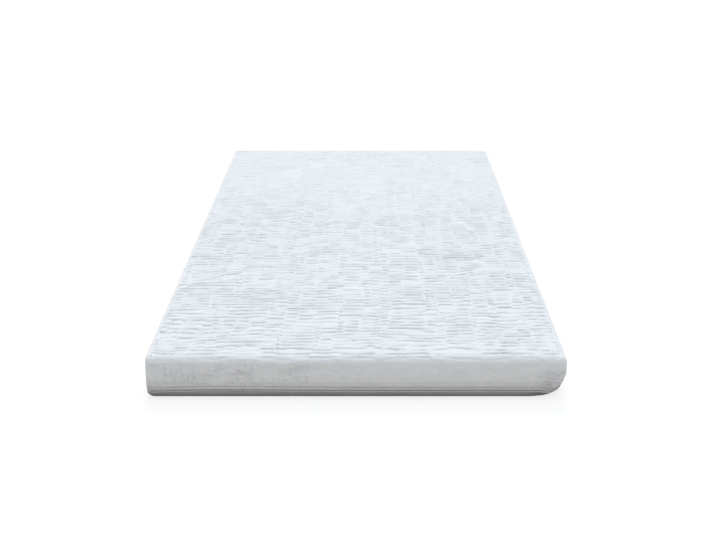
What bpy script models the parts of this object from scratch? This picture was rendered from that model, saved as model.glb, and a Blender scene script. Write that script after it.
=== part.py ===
"""A foam mattress topper in a puckered cover, closed by a zip low on its border.

Metres, +Z up. The origin is the centre of the underside, the short end nearest a viewer is at -Y.
"""

import math

import bmesh
import bpy

# The whole topper
WIDTH = 0.990
LENGTH = 1.905
EDGE_HEIGHT = 0.1055  # top of the cover at its edges
CROWN = 0.003  # how much higher the middle stands
SWELL = 0.0012  # broad unevenness of the top
EDGE_ROLL = 0.015  # radius of the rounded top edge
ROLL_TURNS = (32.0, 62.0, 90.0)  # rows of points round it, in degrees
FOOT_ROLL = 0.020  # radius with which the border's foot rolls under
BELLY = 0.0008  # how far the border is drawn in above and below its middle
BELLY_HEIGHT = 0.058
BORDER_RUCK = 0.0008  # soft unevenness of the border
BORDER_HEIGHTS = (0.070, 0.050)  # rows of points down the wall

# Corners, counter-clockwise from the tucked one: side of x, side of y, plan radius at the top
# edge, plan radius at the foot
CORNERS = (
    (1, -1, 0.017, 0.058),
    (1, 1, 0.011, 0.030),
    (-1, 1, 0.010, 0.026),
    (-1, -1, 0.028, 0.018),
)
CORNER_REACH = 0.100  # the stretch of border that a corner shapes
LEAST_RADIUS = 0.001
TUCKED_ROLL = 0.012  # extra foot radius at the tucked corner
TUCK_REACH = 0.085

# The low closing line: the cover's hem, the zip's two tapes and chain, the base cloth's rim
HEM_HEIGHT = 0.0315
CHAIN_HEIGHT = 0.0228
CHAIN_WIDTH = 0.0018
RIM_HEIGHT = 0.0176
RIM_DROP = 0.0040  # how much lower the rim runs round the tucked corner
RIM_DROP_REACH = 0.070
CLOSING_DROP = 0.0060  # and all of the closing line with it
CLOSING_SAG = 0.0005
CLOSING_LIFT = 0.0016  # and where it rises, from the front's left corner
LIFT_PLACE = 0.210
LIFT_REACH = 0.130
CLOSING_DIP = 0.0020
DIP_REACH = 0.050
TAPE_THICKNESS = 0.0009
TAPE_SINK = 0.0008  # how far the tapes lie behind the hem's face
CHAIN_THICKNESS = 0.0007
CHAIN_SINK = 0.0010
HEM_EDGE = 0.0006  # height of the hem's turned-in edge
BASE_CLOTH = 0.0020
GAP = 0.0003
RECESS = TAPE_SINK + TAPE_THICKNESS + 1.3 * GAP  # the fill behind the zip
ZIP_END = 0.018  # distance of the zip's ends from the tucked corner
RECESS_START = 0.006
RECESS_FULL = 0.016

# Rows down the rolled foot, as shares of the rim's height, and the fill's slack behind the cloth
FOOT_SHARES = (1.0, 0.5, 0.13, 0.0)
FOOT_SLACK = (0.0006, 0.0006, 0.0)

# Ripples: rows of thin creases across the width, broken into ladders side by side
RIPPLES = 90
RIPPLE_DEPTH = 0.0034
LADDER_SHARES = (7, 10, 8, 12, 6, 9, 8, 11, 7, 10, 8, 9)
LADDER_JOINT = 0.008  # width over which one ladder's rows pass into the next one's
LADDER_WANDER = 0.013
ROW_SHIFT = 0.62  # how far a ladder's rows wander, in ripples
ROW_FADE = 0.060  # no shift at the two ends of the top
EDGE_STRENGTH = 0.6  # what is left of a crease at the left and right edges
STRENGTH = (0.66, 0.34)  # middle and swing of a crease's strength along a ladder
ROW_STRENGTH = (0.85, 0.15)  # and from one row to the next

# What wanders unevenly: its seed, and the length in metres over which it turns
SEEDS = {"sag": 41, "ruck": 23, "swell": 5, "edge": 60, "shift": 80, "strength": 110, "row": 130}
SAG_COURSE = 0.16
RUCK_COURSE = 0.055
RUCK_SLANT = 1.6  # how far a ruck moves along the border for each metre of height
SWELL_COURSE = (0.09, 0.21)
EDGE_COURSE = 0.11
SHIFT_COURSE = 0.14
STRENGTH_COURSE = 0.075
ROW_COURSE = 0.45  # in rows

# Where the border is sampled: distances from each corner, then even steps
CORNER_STEPS = (0.0, 0.008, 0.016, 0.024, 0.036, 0.048, 0.060, 0.078)
STEP = 0.072

COVER_WHITE = (0.80, 0.83, 0.86, 1.0)
TAPE_GREY = (0.52, 0.52, 0.50, 1.0)
CHAIN_GREY = (0.26, 0.26, 0.26, 1.0)
BASE_GREY = (0.17, 0.17, 0.17, 1.0)


def ease(share):
    """Smooth step from 0 at 0 to 1 at 1."""
    share = min(max(share, 0.0), 1.0)
    return share * share * (3.0 - 2.0 * share)


def drift(seed, course):
    """Smooth wandering between about -1 and 1, with its own course for each seed."""
    bend = 1.0 + 0.21 * math.sin(1.7 * seed)
    slow = math.sin(bend * course + 2.4 * seed)
    quick = math.sin(1.93 * bend * course + 5.1 * seed + 1.0)
    fine = math.sin(3.17 * course + 3.3 * seed)
    return 0.55 * slow + 0.30 * quick + 0.15 * fine


# The border


def from_tuck(distance):
    """Distance along the border from the tucked corner, the shorter way."""
    whole = 2.0 * (WIDTH + LENGTH)
    distance %= whole
    return min(distance, whole - distance)


def corner_radius(corner, height):
    """A corner's plan radius changes from the top edge to the foot, mostly low down."""
    top, foot = CORNERS[corner][2:]
    down = (EDGE_HEIGHT - height) / (EDGE_HEIGHT - FOOT_ROLL)
    return top + (foot - top) * ease(down) ** 4


def foot_roll(distance):
    return FOOT_ROLL + TUCKED_ROLL * (1.0 - ease(from_tuck(distance) / TUCK_REACH))


def sag(distance):
    """The closing line isn't level: it rises along the front and dips at the front's corners."""
    left_corner = 2.0 * LENGTH + WIDTH
    along = distance - left_corner
    lift = CLOSING_LIFT * math.exp(-(((along - LIFT_PLACE) / LIFT_REACH) ** 2))
    dip = CLOSING_DIP * math.exp(-((along / DIP_REACH) ** 2))
    dip += CLOSING_DROP * near_tuck(distance)
    return CLOSING_SAG * drift(SEEDS["sag"], distance / SAG_COURSE) + lift - dip


def near_tuck(distance):
    """From 1 at the tucked corner to 0 a short way along the border."""
    return 1.0 - ease(from_tuck(distance) / RIM_DROP_REACH)


def rim_height(distance):
    return RIM_HEIGHT - RIM_DROP * near_tuck(distance) + sag(distance)


def belly(height):
    return BELLY * ((height - BELLY_HEIGHT) / (BELLY_HEIGHT - FOOT_ROLL)) ** 2


def outline_point(distance, inset, height):
    """The point at this distance round the border, drawn in by inset from the widest outline."""
    sides = (LENGTH, WIDTH, LENGTH, WIDTH)
    side = 0
    distance %= 2.0 * (WIDTH + LENGTH)
    while distance > sides[side]:
        distance -= sides[side]
        side += 1
    starts_here = distance < sides[side] / 2.0
    corner = side if starts_here else (side + 1) % 4
    to_corner = distance if starts_here else sides[side] - distance
    radius = max(corner_radius(corner, height) - inset, LEAST_RADIUS)
    along = to_corner - inset
    inward = 0.0
    if to_corner < CORNER_REACH:
        straight = CORNER_REACH - inset - radius
        travelled = (straight + radius * math.pi / 4.0) * (1.0 - to_corner / CORNER_REACH)
        along = CORNER_REACH - inset - travelled
        if travelled > straight:
            turn = (travelled - straight) / radius
            along = radius - radius * math.sin(turn)
            inward = radius - radius * math.cos(turn)
    along += inset
    inward += inset
    if side % 2 == 0:
        x_in, y_in = inward, along
    else:
        x_in, y_in = along, inward
    x_side, y_side = CORNERS[corner][:2]
    return (x_side * (WIDTH / 2.0 - x_in), y_side * (LENGTH / 2.0 - y_in), height)


def border_point(distance, height, depth=0.0):
    """The border's skin at this height, or depth behind it, down the wall and round its foot."""
    foot = foot_roll(distance)
    inset = belly(max(height, FOOT_ROLL))
    if height < foot:
        turn = math.asin((foot - height) / foot)
        inset += foot - (foot - depth) * math.cos(turn)
        height = foot - (foot - depth) * math.sin(turn)
    else:
        inset += depth
    return outline_point(distance, inset, height)


def border_stations():
    """Distances round the border, close together at the corners."""
    stations = []
    start = 0.0
    for side in (LENGTH, WIDTH, LENGTH, WIDTH):
        middle = side - 2.0 * CORNER_REACH
        count = round(middle / STEP)
        stations += [start + step for step in CORNER_STEPS]
        stations += [start + CORNER_REACH + middle * i / count for i in range(count + 1)]
        stations += [start + side - step for step in reversed(CORNER_STEPS[1:])]
        start += side
    return stations


def ruck(distance, height):
    """The cover lies a little unevenly against the border."""
    span = math.sin(math.pi * ease((height - HEM_HEIGHT) / (EDGE_HEIGHT - HEM_HEIGHT)))
    return BORDER_RUCK * span * drift(SEEDS["ruck"], (distance + RUCK_SLANT * height) / RUCK_COURSE)


# The top


def top_inset():
    return EDGE_ROLL + belly(EDGE_HEIGHT - EDGE_ROLL)


def ladder_edge(number, y):
    """Where one ladder of ripples ends and the next begins, at this y."""
    span = WIDTH - 2.0 * top_inset()
    x = span * sum(LADDER_SHARES[:number]) / sum(LADDER_SHARES) - span / 2.0
    if 0 < number < len(LADDER_SHARES):
        x += LADDER_WANDER * drift(SEEDS["edge"] + number, y / EDGE_COURSE)
    return x


def row_shift(ladder, y):
    """How far this ladder's rows lie from their even places, in metres."""
    pitch = (LENGTH - 2.0 * top_inset()) / RIPPLES
    from_end = LENGTH / 2.0 - top_inset() - abs(y)
    wander = drift(SEEDS["shift"] + ladder, y / SHIFT_COURSE)
    return pitch * ROW_SHIFT * wander * ease(from_end / ROW_FADE)


def crease_strength(ladder, row, y):
    """Creases come and go along a ladder and differ from one to the next."""
    along = STRENGTH[0] + STRENGTH[1] * drift(SEEDS["strength"] + ladder, y / STRENGTH_COURSE)
    own = ROW_STRENGTH[0] + ROW_STRENGTH[1] * drift(SEEDS["row"] + ladder, row / ROW_COURSE)
    return along * own


def top_height(x, y):
    """The top without its ripples: a low crown and a broad swell, both level at the edges."""
    across = 1.0 - (2.0 * x / WIDTH) ** 2
    along = 1.0 - (2.0 * y / LENGTH) ** 4
    turn = drift(SEEDS["swell"] + 1, y / SWELL_COURSE[1])
    rise = CROWN + SWELL * drift(SEEDS["swell"], x / SWELL_COURSE[0] + turn)
    return EDGE_HEIGHT + rise * across * along


def ripple_point(column, row):
    """A point of the top's mesh. Odd rows are creases, even rows the ridges between them."""
    ladders = len(LADDER_SHARES)
    ladder, right_end = divmod(column, 2)
    inset = top_inset()
    y = (LENGTH - 2.0 * inset) * (row / (2.0 * RIPPLES) - 0.5)
    y += row_shift(ladder, y)
    x = ladder_edge(ladder + right_end, y)
    at_side = column in (0, 2 * ladders - 1)
    if not at_side:
        x += LADDER_JOINT / 2.0 * (-1 if right_end else 1)
    height = top_height(x, y)
    if at_side:
        height = EDGE_HEIGHT
    if row % 2:
        fade = EDGE_STRENGTH if at_side else 1.0
        height -= RIPPLE_DEPTH * fade * crease_strength(ladder, row, y)
    return (x, y, height)


def add_top(bm):
    """The rippled top as a grid. Returns its rim as (distance, vertex), from the tucked corner."""
    columns = 2 * len(LADDER_SHARES) - 1
    rows = 2 * RIPPLES
    grid = bmesh.ops.create_grid(bm, x_segments=columns, y_segments=rows, size=0.5)
    places = {}
    for vertex in grid["verts"]:
        column = round((vertex.co.x + 0.5) * columns)
        row = round((vertex.co.y + 0.5) * rows)
        vertex.co = ripple_point(column, row)
        places[column, row] = vertex
    reach_x = WIDTH / 2.0 - top_inset()
    reach_y = LENGTH / 2.0 - top_inset()
    rim = []
    for row in range(rows):
        vertex = places[columns, row]
        rim.append((LENGTH * (0.5 + vertex.co.y / reach_y / 2.0), vertex))
    for column in range(columns, 0, -1):
        vertex = places[column, rows]
        rim.append((LENGTH + WIDTH * (0.5 - vertex.co.x / reach_x / 2.0), vertex))
    for row in range(rows, 0, -1):
        vertex = places[0, row]
        rim.append((LENGTH + WIDTH + LENGTH * (0.5 - vertex.co.y / reach_y / 2.0), vertex))
    for column in range(columns):
        vertex = places[column, 0]
        start = 2.0 * LENGTH + WIDTH
        rim.append((start + WIDTH * (0.5 + vertex.co.x / reach_x / 2.0), vertex))
    return rim


# Lofts


def add_row(bm, points):
    return [bm.verts.new(point) for point in points]


def loft(bm, rows, closed):
    """Joins rows of equal numbers of points with quads."""
    for upper, lower in zip(rows, rows[1:]):
        count = len(upper)
        for i in range(count if closed else count - 1):
            j = (i + 1) % count
            bm.faces.new((upper[i], lower[i], lower[j], upper[j]))


def lace(bm, upper, lower):
    """Joins two closed rows of unlike numbers of (distance, vertex) with triangles."""
    whole = 2.0 * (WIDTH + LENGTH)
    upper = upper + [(whole, upper[0][1])]
    lower = lower + [(whole, lower[0][1])]
    i = j = 0
    while i < len(upper) - 1 or j < len(lower) - 1:
        step_upper = j == len(lower) - 1
        if not step_upper and i < len(upper) - 1:
            step_upper = upper[i + 1][0] < lower[j + 1][0]
        if step_upper:
            bm.faces.new((upper[i][1], upper[i + 1][1], lower[j][1]))
            i += 1
        else:
            bm.faces.new((upper[i][1], lower[j + 1][1], lower[j][1]))
            j += 1


# The pieces


def part_material(name, color, roughness):
    material = bpy.data.materials.new(name)
    material.use_nodes = True
    shader = material.node_tree.nodes["Principled BSDF"]
    shader.inputs["Base Color"].default_value = color
    shader.inputs["Roughness"].default_value = roughness
    shader.inputs["Metallic"].default_value = 0.0
    material.diffuse_color = color
    return material


def add_part(name, bm, material, collection):
    """Closes the mesh's normals outward, shades it smooth and links it as one object."""
    bmesh.ops.recalc_face_normals(bm, faces=bm.faces)
    mesh = bpy.data.meshes.new(name)
    bm.to_mesh(mesh)
    bm.free()
    mesh.shade_smooth()
    mesh.set_sharp_from_angle(angle=math.radians(50.0))
    mesh.materials.append(material)
    obj = bpy.data.objects.new(name, mesh)
    collection.objects.link(obj)
    return obj


def recess_share(distance):
    """The cover steps in behind the zip, and lies plain where the zip has ended."""
    return ease((from_tuck(distance) - RECESS_START) / (RECESS_FULL - RECESS_START))


def make_upper_cover(collection):
    """Top, border and fill: one filled solid, from the ripples down to inside the base cloth."""
    bm = bmesh.new()
    rim = add_top(bm)
    stations = border_stations()
    rows = []
    for turn in ROLL_TURNS:
        angle = math.radians(turn)
        height = EDGE_HEIGHT - EDGE_ROLL * (1.0 - math.cos(angle))
        inset = top_inset() - EDGE_ROLL * math.sin(angle)
        rows.append([outline_point(s, inset, height) for s in stations])
    for height in BORDER_HEIGHTS:
        rows.append([border_point(s, height, ruck(s, height)) for s in stations])
    rows.append([border_point(s, HEM_HEIGHT + sag(s)) for s in stations])
    rows.append(
        [
            border_point(s, HEM_HEIGHT - HEM_EDGE + sag(s), RECESS * recess_share(s))
            for s in stations
        ]
    )
    rows.append(
        [border_point(s, rim_height(s) + GAP, RECESS * recess_share(s)) for s in stations]
    )
    inside = BASE_CLOTH + GAP
    rows.append([border_point(s, rim_height(s) + GAP, inside) for s in stations])
    for share, slack in zip(FOOT_SHARES[1:], FOOT_SLACK):
        rows.append([border_point(s, rim_height(s) * share, inside + slack) for s in stations])
    rows = [add_row(bm, row) for row in rows]
    lace(bm, rim, list(zip(stations, rows[0])))
    loft(bm, rows, closed=True)
    bm.faces.new(rows[-1])
    white = part_material("cover_white", COVER_WHITE, 0.9)
    return add_part("upper_cover", bm, white, collection)


def make_base_cover(collection):
    """A shallow pan of grey cloth: flat below, its rim rolled up the border's foot."""
    bm = bmesh.new()
    stations = border_stations()
    inner, outer = (
        [
            add_row(bm, [border_point(s, rim_height(s) * share, depth) for s in stations])
            for share in FOOT_SHARES
        ]
        for depth in (BASE_CLOTH, 0.0)
    )
    loft(bm, inner[::-1] + outer, closed=True)
    bm.faces.new(inner[-1])
    bm.faces.new(outer[-1])
    grey = part_material("base_grey", BASE_GREY, 0.85)
    return add_part("base_cover", bm, grey, collection)


def thicken(obj, thickness):
    """Gives an outer face its cloth's thickness, inward."""
    solidify = obj.modifiers.new("thickness", "SOLIDIFY")
    solidify.thickness = thickness
    solidify.offset = -1.0
    solidify.use_even_offset = True


def make_zip_strip(name, upper, lower, sink, thickness, material, collection):
    """A strip of the zip round the foot. upper and lower give its edges' heights by distance."""
    bm = bmesh.new()
    whole = 2.0 * (WIDTH + LENGTH)
    stations = [s for s in border_stations() if ZIP_END < s < whole - ZIP_END]
    stations = [ZIP_END] + stations + [whole - ZIP_END]
    rows = [
        add_row(bm, [border_point(s, upper(s), sink) for s in stations]),
        add_row(bm, [border_point(s, lower(s), sink) for s in stations]),
    ]
    loft(bm, rows, closed=False)
    strip = add_part(name, bm, material, collection)
    thicken(strip, thickness)
    return strip


def make_zip(collection):
    """Two tapes with the closed chain between them."""
    tape = part_material("tape_grey", TAPE_GREY, 0.7)
    chain = part_material("chain_grey", CHAIN_GREY, 0.45)
    half = CHAIN_WIDTH / 2.0
    make_zip_strip(
        "zip_tape_upper",
        lambda s: HEM_HEIGHT - HEM_EDGE - GAP + sag(s),
        lambda s: CHAIN_HEIGHT + half + GAP + sag(s),
        TAPE_SINK,
        TAPE_THICKNESS,
        tape,
        collection,
    )
    make_zip_strip(
        "zip_chain",
        lambda s: CHAIN_HEIGHT + half + sag(s),
        lambda s: CHAIN_HEIGHT - half + sag(s),
        CHAIN_SINK,
        CHAIN_THICKNESS,
        chain,
        collection,
    )
    make_zip_strip(
        "zip_tape_lower",
        lambda s: CHAIN_HEIGHT - half - GAP + sag(s),
        lambda s: rim_height(s) + GAP,
        TAPE_SINK,
        TAPE_THICKNESS,
        tape,
        collection,
    )


def main():
    for obj in list(bpy.data.objects):
        bpy.data.objects.remove(obj)
    topper = bpy.data.collections.new("mattress_topper")
    bpy.context.scene.collection.children.link(topper)
    make_upper_cover(topper)
    make_zip(topper)
    make_base_cover(topper)


main()
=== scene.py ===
"""The finished look of a foam mattress topper in a puckered knit cover.

Metres, +Z up, in the frame of the solids. The short end nearest the camera is at -Y.
"""

import math
import random

import bmesh
import bpy
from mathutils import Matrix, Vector, noise


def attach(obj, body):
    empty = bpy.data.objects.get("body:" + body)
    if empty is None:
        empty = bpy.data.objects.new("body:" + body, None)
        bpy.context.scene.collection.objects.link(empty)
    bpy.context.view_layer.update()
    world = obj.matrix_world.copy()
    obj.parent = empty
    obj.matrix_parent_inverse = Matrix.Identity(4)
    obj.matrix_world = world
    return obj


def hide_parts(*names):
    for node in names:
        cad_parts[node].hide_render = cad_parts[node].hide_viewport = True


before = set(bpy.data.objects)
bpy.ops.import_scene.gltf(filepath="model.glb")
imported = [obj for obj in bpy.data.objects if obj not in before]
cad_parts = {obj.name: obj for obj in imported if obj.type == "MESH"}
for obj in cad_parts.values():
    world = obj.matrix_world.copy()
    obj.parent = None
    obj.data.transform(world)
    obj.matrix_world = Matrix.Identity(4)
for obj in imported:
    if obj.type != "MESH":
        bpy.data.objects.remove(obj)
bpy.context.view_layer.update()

# ---------------------------------------------------------------------------------------------
# The topper's form, in the named sizes of its solids
# ---------------------------------------------------------------------------------------------

WIDTH = 0.990
LENGTH = 1.905
EDGE_HEIGHT = 0.1055  # top of the cover at its edges
CROWN = 0.003  # how much higher the middle stands
SWELL = 0.0012  # broad unevenness of the top
EDGE_ROLL = 0.015  # radius of the rounded top edge
FOOT_ROLL = 0.020  # radius with which the border's foot rolls under
BELLY = 0.0008  # how far the border is drawn in above and below its middle
BELLY_HEIGHT = 0.058
BORDER_RUCK = 0.0008  # soft unevenness of the border

# Corners, counter-clockwise from the tucked one: side of x, side of y, plan radius at the top
# edge, plan radius at the foot
CORNERS = (
    (1, -1, 0.017, 0.058),
    (1, 1, 0.011, 0.030),
    (-1, 1, 0.010, 0.026),
    (-1, -1, 0.028, 0.018),
)
CORNER_REACH = 0.100  # the stretch of border that a corner shapes
LEAST_RADIUS = 0.001
TUCKED_ROLL = 0.012  # extra foot radius at the tucked corner
TUCK_REACH = 0.085

# The low closing line: the cover's hem, the zip's two tapes and chain, the base cloth's rim
HEM_HEIGHT = 0.0315
CHAIN_HEIGHT = 0.0228
CHAIN_WIDTH = 0.0018
RIM_HEIGHT = 0.0176
RIM_DROP = 0.0040  # how much lower the rim runs round the tucked corner
RIM_DROP_REACH = 0.070
CLOSING_DROP = 0.0060  # and all of the closing line with it
CLOSING_SAG = 0.0005
CLOSING_LIFT = 0.0016  # and where it rises, from the front's left corner
LIFT_PLACE = 0.210
LIFT_REACH = 0.130
CLOSING_DIP = 0.0020
DIP_REACH = 0.050
TAPE_THICKNESS = 0.0009
TAPE_SINK = 0.0008  # how far the tapes lie behind the hem's face
CHAIN_THICKNESS = 0.0007
CHAIN_SINK = 0.0010
HEM_EDGE = 0.0006  # height of the hem's turned-in edge
BASE_CLOTH = 0.0020
GAP = 0.0003
RECESS = TAPE_SINK + TAPE_THICKNESS + 1.3 * GAP  # the fill behind the zip
ZIP_END = 0.018  # distance of the zip's ends from the tucked corner
RECESS_START = 0.006  # where the recess begins, measured the same way
RECESS_FULL = 0.016  # and where it is full

# Rows down the rolled foot, as shares of the rim's height, and the fill's slack behind the cloth
FOOT_SHARES = (1.0, 0.5, 0.13, 0.0)
FOOT_SLACK = (0.0006, 0.0006, 0.0)

RIPPLES = 90  # rows of them along the top
ROW_FADE = 0.060  # no shift of a row at the two ends of the top

# What wanders unevenly: its seed, and the length in metres over which it turns
SEEDS = {"sag": 41, "ruck": 23, "swell": 5, "edge": 60, "shift": 80, "strength": 110, "join": 140}
SAG_COURSE = 0.16
RUCK_COURSE = 0.055
RUCK_SLANT = 1.6  # how far a ruck moves along the border for each metre of height
SWELL_COURSE = (0.09, 0.21)
EDGE_COURSE = 0.11

# ---------------------------------------------------------------------------------------------
# What is finer here than in the solids
# ---------------------------------------------------------------------------------------------

# Ladders of ripples, side by side across the width: more of them than the solids have
LADDER_SHARES = (
    *(3, 5, 7, 4, 5, 3, 6, 8, 4, 3, 5, 6, 4, 5, 3, 7),
    *(5, 3, 4, 6, 8, 3, 4, 5, 6, 3, 5, 4, 7, 4, 5, 3),
)
LADDER_WANDER = 0.009
LADDER_RAGGED = 0.006
RAGGED_COURSE = 0.019
ROW_SHIFT = 1.5  # how far the rows wander together, in ripples
SHIFT_COURSE = 0.21
OWN_SHIFT = 0.42  # and each ladder on its own
OWN_COURSE = 0.075

# Layers of smooth noise, so that no two kinds of unevenness are alike
LAYERS = {"strength": 1, "fine": 2, "shift": 3, "ragged": 5, "depth": 8, "wave": 9, "bow": 10}
LAYER_STEP = 7.3

TOP_ROWS = 721
COLUMN_SHARES = (0.0, 0.2, 0.8)  # columns of points across a ladder
CREASE_DEPTH = 0.0066  # of a usual crease near the front end
CREASE_SHADE_DEPTH = 0.0024  # how deep the top dips where the painted shade in its creases is darkest
WRINKLE_SHADE_DEPTH = 0.0060  # and the border's wrinkles, for their painted shade
CREASE_WIDTH = 0.114  # in ripples
PUFF = 0.30  # how much a ridge swells beside its creases, as a share of their depth
CREASE_SEED = 31
SHALLOW_ODDS = 0.04  # the share of creases that hardly show
SHALLOW = 0.30  # and how deep those are
CREASE_RANGES = {
    "depth": (0.82, 1.18),
    "width": (0.85, 1.20),
    "fade": (-0.30, 0.30),
    "tilt": (-1.0, 1.0),
}
CREASE_SPAN = 1.6  # makes the noise along a crease reach from about -1 to 1
CREASE_KIN = (0.55, 0.37)  # how unlike a crease's neighbours are, and a start off the noise's grid
CREASE_COURSE = 0.085  # along a crease, how soon it deepens or fades
CREASE_SWING = 0.22  # and by how much

# Strength of the creases: its swing along a ladder, and patches of it, as swing, size and layer
STRENGTH_SWING = 0.12
STRENGTH_COURSE = 0.060
STRENGTH_PATCHES = ((0.20, 0.17, LAYERS["strength"]), (0.08, 0.045, LAYERS["fine"]))
STRENGTH_RANGE = (0.30, 1.35)

# Where the creases of two ladders join: how likely, how that swings, how much surer at the ends
JOINED = (0.64, 1.2, 0.4)
JOIN_COURSE = 0.040
END_REACH = (0.02, 0.05)
CREASE_LEFT = 0.26  # what is left of a crease between two ladders where their rows don't join

EDGE_STRENGTH = 0.85  # what is left of a crease at the side edges
SIDE_REACH = 0.03  # and how far in from them it is weaker
EDGE_RUN = 0.040  # how far down the border it runs out
ROLL_CALM = (0.62, 0.010)  # how much of that goes first, and how far down
CORNER_CALM = 0.020  # how near a corner the creases fade
FAR_CALM = 0.52  # how much shallower the creases are towards the back end
FAR_START = -0.05  # from this y on
FAR_FADE = 0.55  # and over this length
WANDER = 0.72  # how far a crease bends off its row, in ripples
BEND_COURSE = 0.032
BENDS = (0.6, 1.3, 0.6)  # shares of the wave, the bow and the tilt in it
BOW_STEP = 2.3  # how unlike the bows of two ladders are

FOLD_RUN = 0.05  # how far a fold runs on past its ends
FOLD_FADE = 0.09
FOLD_WANDER = 0.006
FOLD_COURSE = 0.05
FOLD_SEED = 50.0  # a fold's seed from its place
FOLD_REACH = 3.0  # how far a fold is felt to its sides, in half-widths
FOLD_CALM = 0.55  # how much shallower the creases are on a fold's crest

# Soft folds under the puckers: x and y of both ends, height, half-width
SOFT_FOLDS = (
    (0.171, 0.247, 0.159, -0.199, 0.0022, 0.016),
    (0.263, 0.219, 0.235, -0.217, 0.0022, 0.016),
    (0.412, 0.087, 0.407, -0.173, 0.0018, 0.016),
    (0.395, 0.897, 0.376, 0.613, 0.0022, 0.018),
    (0.086, 0.171, -0.004, -0.109, 0.0020, 0.015),
    (-0.024, -0.173, -0.077, -0.406, 0.0020, 0.015),
    (-0.003, -0.243, -0.016, -0.383, 0.0018, 0.013),
    (0.097, 0.680, -0.087, -0.109, 0.0024, 0.019),
    (-0.073, 0.304, -0.041, -0.109, 0.0018, 0.015),
)

# Rows down the cover's roll, in degrees, and down its wall
ROLL_TURNS = (11.0, 22.0, 33.0, 44.0, 56.0, 72.0, 90.0)
WALL_HEIGHTS = (0.0850, 0.0790, 0.0730, 0.0670, 0.0610, 0.0550, 0.0490, 0.0440, 0.0395, 0.0355)
HEM_SUPPORT = 0.0010  # a row just above the hem's edge keeps it crisp
WRINKLES_FULL = 60.0  # from this turn on the border's wrinkles have their full depth

LIP = 0.45  # height of the low ridges beside a wrinkle's groove, as a share of its depth
LIP_PLACE = 1.9  # and how far out they stand, in half-widths
GROOVE_REACH = 4.0
LEFT_START = -0.1  # the front's wrinkles begin this far before its left corner
TUCK_SPAN = 0.12  # and the tucked corner's reach this far on both sides of it
GATHER = 0.00035  # fine gathers all round: depth, size along and up, layer of noise
GATHER_SIZE = (0.021, 0.060)
GATHER_LAYER = 3.1

# Wrinkles of the border: distance from the front's left corner (or from the tucked corner,
# counted along the right side), height, half-length, half-width, slope in degrees, depth
LEFT_WRINKLES = (
    (0.150, 0.0600, 0.050, 0.0056, 7.0, 0.0040),
    (0.225, 0.0690, 0.055, 0.0060, 9.0, 0.0046),
    (0.345, 0.0790, 0.075, 0.0064, 10.0, 0.0046),
    (0.095, 0.0500, 0.034, 0.0055, 30.0, 0.0034),
    (0.105, 0.0780, 0.022, 0.0060, 80.0, 0.0014),
    (0.060, 0.0700, 0.024, 0.0060, 75.0, 0.0014),
    (0.180, 0.0820, 0.020, 0.0056, 82.0, 0.0014),
    (0.260, 0.0830, 0.020, 0.0060, 84.0, 0.0014),
    (0.300, 0.0540, 0.040, 0.0058, 12.0, 0.0016),
    (0.530, 0.0740, 0.022, 0.0060, 78.0, 0.0012),
    (0.600, 0.0780, 0.024, 0.0058, 96.0, 0.0012),
    (0.690, 0.0700, 0.024, 0.0058, 80.0, 0.0014),
    (0.710, 0.0720, 0.024, 0.0056, 96.0, 0.0014),
    (0.820, 0.0560, 0.034, 0.0058, 20.0, 0.0013),
)
TUCK_WRINKLES = (
    (-0.034, 0.0440, 0.026, 0.0048, 26.0, 0.0020),
    (-0.020, 0.0390, 0.024, 0.0042, 34.0, 0.0018),
    (-0.052, 0.0400, 0.024, 0.0042, 16.0, 0.0014),
    (-0.008, 0.0540, 0.024, 0.0048, 42.0, 0.0014),
    (0.018, 0.0440, 0.026, 0.0046, -30.0, 0.0015),
    (0.036, 0.0400, 0.026, 0.0044, -20.0, 0.0013),
    (-0.040, 0.0620, 0.022, 0.0048, 8.0, 0.0014),
    (-0.016, 0.0780, 0.020, 0.0050, 70.0, 0.0014),
)

FINE_STEP = 0.0085  # between points round the base and the zip
STITCH_PITCH = 0.0042
STITCH_LENGTH = 0.0029
STITCH_RADIUS = 0.00030
STITCH_HEIGHT = 0.0036  # above the hem's edge
STITCH_SINK = 0.3  # how deep a stitch lies in the cloth, in radii
STITCH_SPREAD = 1.2  # how much taller than deep it is
TOOTH_PITCH = 0.0020
TOOTH_RISE = 0.00040  # every second tooth sits this much above the chain's middle, the rest below
TOOTH_SINK = 0.0002
TOOTH_LEAN = 0.35
TOOTH_SIZES = (0.00075, 0.00085, 0.00045)  # half-sizes along its lean, across it and out
COIL_SINK = 0.0003  # how far the coil's core lies behind its teeth
STRIP_SHARES = (0.0, 0.12, 0.5, 0.88, 1.0)  # rows across a woven strip
TAPE_BULGES = (0.0006, 0.0005)  # how far the upper and the lower tape are rounded
AXES_STEP = 0.002  # the step by which the border's directions are measured

# The base cloth: rows down its outside and inside, its rounded rim, and its soft unevenness, as
# seed and the length over which it turns
CLOTH_SHARES = (0.985, 0.85, 0.70, 0.55, 0.40, 0.26, 0.13, 0.05, 0.0)
LINING_SHARES = (0.95, 0.5, 0.13, 0.0)
RIM_SHARES = (0.3, 0.8)
CLOTH_DENT = 0.00025
CLOTH_COURSES = ((12, 0.012), (14, 0.031))


def ease(share):
    """Smooth step from 0 at 0 to 1 at 1."""
    share = min(max(share, 0.0), 1.0)
    return share * share * (3.0 - 2.0 * share)


def drift(seed, course):
    """Smooth wandering between about -1 and 1, with its own course for each seed."""
    bend = 1.0 + 0.21 * math.sin(1.7 * seed)
    slow = math.sin(bend * course + 2.4 * seed)
    quick = math.sin(1.93 * bend * course + 5.1 * seed + 1.0)
    fine = math.sin(3.17 * course + 3.3 * seed)
    return 0.55 * slow + 0.30 * quick + 0.15 * fine


def patchy(x, y, size, layer):
    """Smooth unevenness over the plane, between about -1 and 1."""
    return noise.noise(Vector((x / size, y / size, LAYER_STEP * layer)))


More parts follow.
